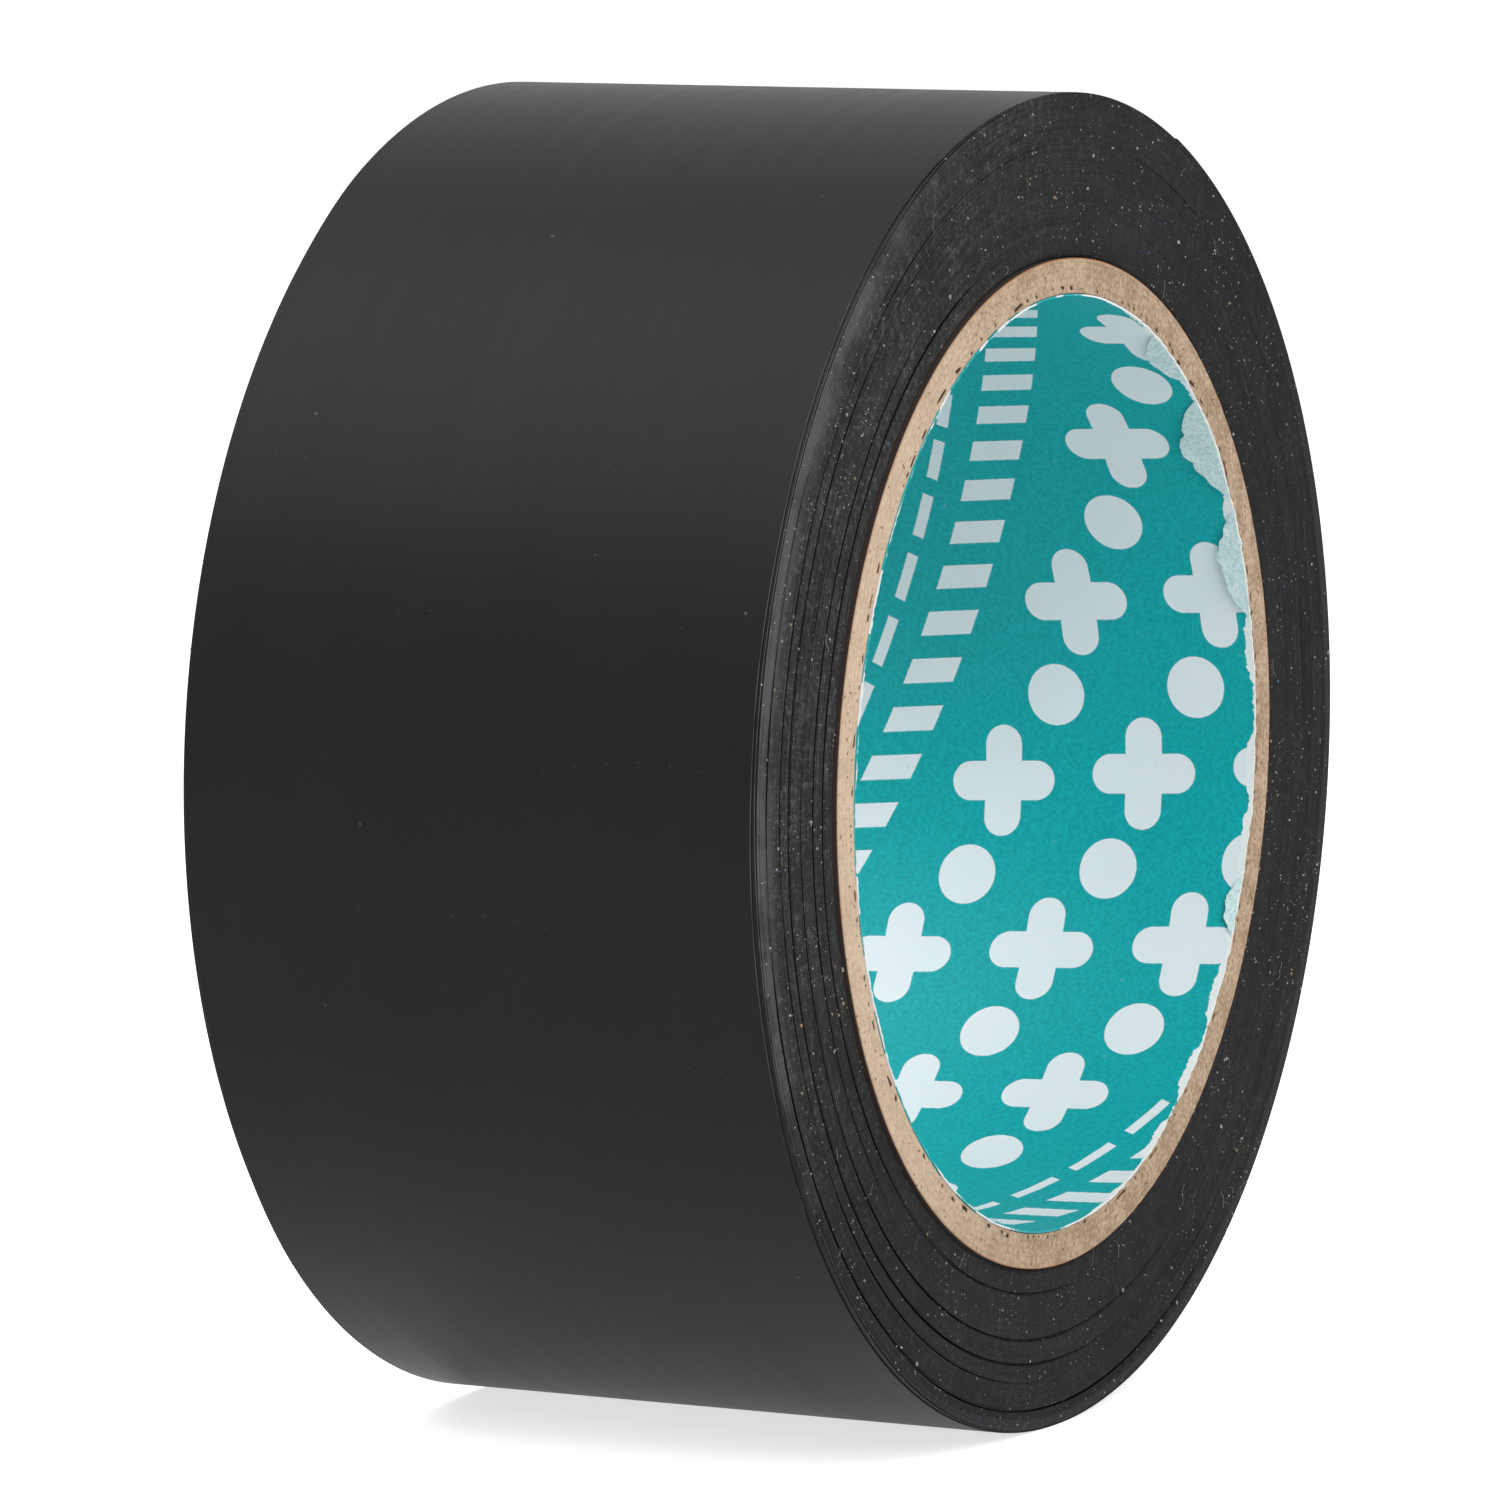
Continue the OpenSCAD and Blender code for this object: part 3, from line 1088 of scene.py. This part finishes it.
@dataclass
class Liner:
    """The printed liner: a paper strip wound in a helix inside the core, torn along its rims."""

    sizes: RollSizes
    pitch_angle: float = math.radians(-24)
    seam_angle: float = math.radians(164)
    print_start: float = 28.2 * MM
    lap: float = 1.6 * MM
    stations: int = 800
    curl: float = 0.12 * MM
    rim_reach: float = 0.8 * MM
    row_steps: tuple[float, ...] = (0, 0.15, 0.35, 0.7, 1.2)
    middle_step: float = 1.12 * MM

    def rows(self) -> np.ndarray:
        """Places across the core from rim to rim, close together near both rims."""
        steps = np.array(self.row_steps) * MM
        length = 2 * self.sizes.core_half
        count = round((length - 2 * steps[-1]) / self.middle_step)
        middle = np.linspace(steps[-1], length - steps[-1], count + 1)[1:-1]
        return np.concatenate([steps, middle, length - steps[::-1]]) - self.sizes.core_half

    def rim_tear(self, face: Face, angle: np.ndarray) -> np.ndarray:
        """How far the torn rim stands back from the core's end, less than 0 where it stands out."""
        noise = Noise(71 + face.value)
        return MM * (0.03 + 0.1 * noise.round_axis(angle, 60, 4.0) + 0.12 * noise.round_axis(angle, 420))

    def build(self, printed: Material) -> None:
        """Lays the strip on the helix.

        Along the strip a point goes round the core; across the core it turns by the place over the
        radius and the tangent of the pitch. The last stretch laps over the first, one thickness
        further in. Near each rim the strip curls in.
        """
        s = self.sizes
        thick = s.liner_r - s.bore_r
        round_way = FULL_TURN * s.bore_r
        run = np.linspace(0, round_way + self.lap, self.stations)[:, None]
        y = self.rows()[None, :]
        angle = self.seam_angle + run / s.bore_r + y / (s.bore_r * math.tan(self.pitch_angle))
        near_front = np.exp(-(s.core_half + y) / self.rim_reach)
        near_back = np.exp(-(s.core_half - y) / self.rim_reach)
        placed = y + self.rim_tear(Face.FRONT, angle) * near_front
        placed = placed - self.rim_tear(Face.BACK, angle) * near_back
        over_lap = ease(run, round_way - 0.4 * MM, round_way)
        uneven = 0.6 + 0.4 * Noise(85).round_axis(angle, 80)
        curled = self.curl * np.maximum(near_front, near_back) * uneven
        crease = 0.02 * MM * Noise(86).layers(angle * 2.2, y / (14 * MM), count=2)
        inner = s.bore_r + 0.02 * MM - over_lap * thick - curled + crease
        skin = on_roll(closed(inner, inner + thick * 0.9), closed(angle, angle), closed(placed, placed))
        sheet = Sheet.carried(skin, ring=False)
        along = run * math.cos(self.pitch_angle) + y / math.sin(self.pitch_angle)
        across = np.broadcast_to(self.print_start + run * abs(math.sin(self.pitch_angle)), along.shape)
        strip = np.stack([along, across], -1) * 10
        sheet.uv = closed(strip, strip).reshape(-1, 2)
        settle(sheet.to_object("liner_strip", printed, sharp_deg=50), "core_liner")


@dataclass
class LinerFlakes:
    """Flakes of the liner that have peeled off at the front rim and curl into the bore."""

    sizes: RollSizes
    middles: tuple[float, ...] = (21.0, 39.0, 57.0, -24.0)
    halves: tuple[float, ...] = (7.5, 8.5, 6.0, 4.0)
    depths: tuple[float, ...] = (2.0, 2.6, 1.7, 0.9)
    thick: float = 0.08 * MM
    stations: int = 40
    rows: int = 7

    def build(self, paper: Material) -> None:
        """Each flake is a lens against the rim, with a torn edge: its depth falls as 1 - u squared."""
        sheets = []
        u = np.linspace(-1, 1, self.stations)[:, None]
        v = np.linspace(0, 1, self.rows)[None, :]
        for k, (middle, half, depth) in enumerate(zip(self.middles, self.halves, self.depths)):
            noise = Noise(130 + k)
            angle = np.radians(middle + half * u) + 0 * v
            deep = MM * depth * (1 - u**2) * (1 + 0.25 * noise.layers(u * 7)) + 0.06 * MM
            y = -self.sizes.core_half + 0.1 * MM + deep * v
            lift = (0.10 + 0.45 * v * (1 - u**2) * (1 + 0.4 * noise.layers(u * 4, v * 2))) * MM
            r = self.sizes.bore_r - lift
            skin = on_roll(closed(r, r + self.thick), closed(angle, angle), closed(y, y))
            sheets.append(Sheet.carried(skin, ring=False))
        settle(merged(sheets).to_object("liner_flakes", paper))


# ---------------------------------------------------------------- dust and lint


@dataclass
class Fluff:
    """Dust grains and lint that stick to the edges of the adhesive on both faces."""

    sizes: RollSizes
    grains: int = 4600
    hairs: int = 110
    seed: int = 5
    tints: tuple[tuple, ...] = (
        linear(162, 155, 144), linear(146, 128, 106), linear(184, 183, 180), linear(74, 118, 170),
    )
    tint_odds: tuple[float, ...] = (0.42, 0.3, 0.26, 0.02)

    def _on_face(self, rng: np.random.Generator, count: int) -> tuple[np.ndarray, ...]:
        """Random places on the two faces, in clumps: radius, angle, side and the face's own place there."""
        turns = rng.uniform(1.5, self.sizes.pack_ends[-1], 3 * count)
        angle = rng.uniform(0, FULL_TURN, 3 * count)
        r = self.sizes.wound_r(turns) / (5 * MM)
        clumps = np.exp(2.4 * Noise(97).layers(r * np.cos(angle), r * np.sin(angle)))
        kept = rng.choice(3 * count, count, replace=False, p=clumps / clumps.sum())
        turns, angle = turns[kept], angle[kept]
        turns = np.floor(turns) + ((angle - self.sizes.end_angle) / FULL_TURN) % 1
        side = rng.choice([-1, 1], count)
        front = Winding(self.sizes, Face.FRONT).inset(turns)
        back = Winding(self.sizes, Face.BACK).inset(turns)
        y = side * (self.sizes.tape_half - np.where(side < 0, front, back))
        return self.sizes.wound_r(turns) + self.sizes.thickness / 2, angle, side, y

    def build_grains(self, fluff: Material) -> None:
        """Each grain is a flattened block of eight corners, pushed about and sized at random."""
        rng = np.random.default_rng(self.seed)
        r, angle, side, y = self._on_face(rng, self.grains)
        size = MM * np.clip(rng.lognormal(math.log(0.042), 0.5, self.grains), 0.02, 0.18)
        ring = ((-1, -1), (1, -1), (1, 1), (-1, 1))
        corners = np.array([[x, h, z] for h in (-1, 1) for x, z in ring], float)
        shape = corners[None] * [1.0, 0.5, 0.8] * rng.uniform(0.55, 1.1, (self.grains, 8, 1))
        turn = rng.uniform(0, FULL_TURN, self.grains)[:, None]
        c, s = np.cos(turn), np.sin(turn)
        x, h, z = (shape[..., n] for n in range(3))
        local = np.stack([x * c - z * s, h, x * s + z * c], -1)
        centre = on_roll(r, angle, y + side * size * 0.25)
        points = (centre[:, None] + local * size[:, None, None]).reshape(-1, 3)
        walls = [[n, n + 4, (n + 1) % 4 + 4, (n + 1) % 4] for n in range(4)]
        block = np.array([[0, 1, 2, 3], [7, 6, 5, 4], *walls])
        quads = (np.arange(self.grains)[:, None, None] * 8 + block).reshape(-1, 4)
        sheet = Sheet(points, quads, np.zeros(len(quads), int))
        sheet.face_outwards()
        tint = np.array(self.tints)[rng.choice(len(self.tints), self.grains, p=self.tint_odds)]
        sheet.colours["tint"] = np.repeat(tint, 8, axis=0)
        settle(sheet.to_object("face_dust", fluff))

    def build_hairs(self, fluff: Material) -> None:
        """Each hair is a thin four-sided tube on a path whose heading wanders at random over the face."""
        rng = np.random.default_rng(self.seed + 1)
        steps = 14
        r, angle, side, y = self._on_face(rng, self.hairs)
        sheets = []
        for k in range(self.hairs):
            stride = MM * rng.uniform(0.05, 0.17)
            heading = rng.uniform(0, FULL_TURN) + np.cumsum(rng.normal(0, 0.34, steps))
            path = np.cumsum(np.stack([np.cos(heading), 0 * heading, np.sin(heading)], -1) * stride, axis=0)
            path += on_roll(r[k], angle[k], y[k]) - path.mean(0)
            arch = np.abs(np.sin(np.linspace(0, math.pi, steps) * rng.uniform(0.6, 2)))
            path[:, 1] += side[k] * MM * (0.03 + 0.05 * arch)
            across = np.stack([-np.sin(heading), 0 * heading, np.cos(heading)], -1)
            thin = MM * rng.uniform(0.008, 0.014)
            out, up = across * thin, np.array([0.0, thin, 0.0])
            sheet = Sheet.carried(np.stack([path + out, path + up, path - out, path - up], 1), ring=False)
            tint = np.array(self.tints[rng.choice(3)])
            sheet.colours["tint"] = np.repeat(tint[None], steps * 4, axis=0)
            sheets.append(sheet)
        settle(merged(sheets).to_object("face_lint", fluff))


# ---------------------------------------------------------------- the studio


@dataclass
class Studio:
    """A pale floor, soft lamps and the camera."""

    sizes: RollSizes
    azimuth: float = math.radians(-62.95)
    elevation: float = math.radians(6.16)
    distance: float = 780.2 * MM
    aside: float = -2.15 * MM
    above: float = -0.60 * MM
    lens_mm: float = 225.15
    sensor_mm: float = 36.0

    def camera(self) -> None:
        """Looks straight back along the azimuth and elevation, from a point moved a little aside."""
        a, e = self.azimuth, self.elevation
        back = Vector((math.sin(a) * math.cos(e), -math.cos(a) * math.cos(e), math.sin(e)))
        right = Vector((math.cos(a), math.sin(a), 0))
        data = bpy.data.cameras.new("camera")
        data.lens, data.sensor_width = self.lens_mm, self.sensor_mm
        data.clip_start, data.clip_end = 0.01, 100
        made = bpy.data.objects.new("camera", data)
        made.location = back * self.distance + right * self.aside + back.cross(right) * self.above
        made.rotation_mode = "QUATERNION"
        made.rotation_quaternion = (-back).to_track_quat("-Z", "Y")
        bpy.context.scene.collection.objects.link(made)
        bpy.context.scene.camera = made

    @staticmethod
    def lamp(name: str, place: tuple, size: tuple, watts: float) -> None:
        """A rectangular soft lamp that faces the roll."""
        data = bpy.data.lights.new(name, "AREA")
        data.shape = "RECTANGLE"
        data.size, data.size_y = size
        data.energy = watts
        made = bpy.data.objects.new(name, data)
        made.location = place
        made.rotation_mode = "QUATERNION"
        made.rotation_quaternion = Vector(place).to_track_quat("Z", "Y")
        bpy.context.scene.collection.objects.link(made)

    @staticmethod
    def seen(g: Graph) -> NodeSocket:
        """1 for what the camera sees, by itself or in a reflection or through glass."""
        path = g.add("ShaderNodeLightPath").outputs
        mirrored = g.maths("MAXIMUM", path["Is Glossy Ray"], path["Is Transmission Ray"])
        return g.maths("MAXIMUM", path["Is Camera Ray"], mirrored)

    def world(self, strength: float = 0.28) -> None:
        """A soft grey light from all round, which the camera sees as white."""
        world = bpy.data.worlds.new("studio")
        world.use_nodes = True
        g = Graph(world.node_tree)
        back = world.node_tree.nodes["Background"]
        g.feed(back.inputs["Strength"], g.times_plus(self.seen(g), 1 - strength, strength))
        g.feed(back.inputs["Color"], (1, 1, 1, 1))
        bpy.context.scene.world = world

    def floor(self, half: float = 6.0) -> None:
        """A matte white floor that the roll stands on."""
        z = self.sizes.floor_z
        points = np.array([[-half, -half, z], [half, -half, z], [half, half, z], [-half, half, z]])
        floor = Finish("floor")
        material, g, shader = floor.start()
        tone = g.rise(g.noise(g.place(), 3.0), 0.2, 0.8, 0.86, 0.88)
        floor.wire(
            g, shader,
            Base_Color=g.join(tone, tone, tone),
            Roughness=0.9,
            Emission_Color=(1, 1, 1, 1),
            Emission_Strength=g.times(self.seen(g), 0.7),
        )
        sheet = Sheet(points, np.array([[0, 1, 2, 3]]), np.zeros(1, int))
        sheet.to_object("floor", material)

    def build(self) -> None:
        """Sets the colour handling, and adds the floor, the lamps and the camera."""
        bpy.context.scene.view_settings.view_transform = "Standard"
        self.world()
        self.floor()
        self.lamp("overhead", (-0.52, 0.50, 1.10), (1.3, 1.0), 12.0)
        self.lamp("front", (-0.60, -0.90, 0.75), (0.9, 0.9), 13.0)
        self.camera()


# ---------------------------------------------------------------- the whole roll


def main() -> None:
    """Builds the roll from its packed sizes, then lights it."""
    logging.basicConfig(level=logging.INFO, format="%(name)s: %(message)s")
    sizes = RollSizes.from_frame()
    log.info("wound turns %d, outer radius %.2f mm", sizes.pack_ends[-1] + 1, sizes.outer_r / MM)
    effects = Effects()
    tape = [
        FilmFinish("tape_film", round_way=FULL_TURN * sizes.outer_r).build(effects),
        EdgeFinish("tape_edge", outer_r=sizes.outer_r).build(effects),
        AdhesiveFinish("tape_adhesive").build(effects),
    ]
    board = BoardFinish("core_board").build(effects)
    cover = BoardFinish("core_cover", rim=linear(176, 116, 72), rim_r=sizes.core_r,
                        end_at=sizes.core_half).build(effects)
    TapePacks(sizes).build(tape)
    OuterTurn(sizes).build(tape)
    Core(sizes).build(board, cover)
    Liner(sizes).build(PrintFinish("liner_print", rim_at=sizes.core_half).build(effects))
    LinerFlakes(sizes).build(PaperFinish("torn_paper").build(effects))
    fluff = Fluff(sizes)
    fluff_finish = FluffFinish("dust_and_lint").build(effects)
    fluff.build_grains(fluff_finish)
    fluff.build_hairs(fluff_finish)
    Studio(sizes).build()


if __name__ == "__main__":
    main()
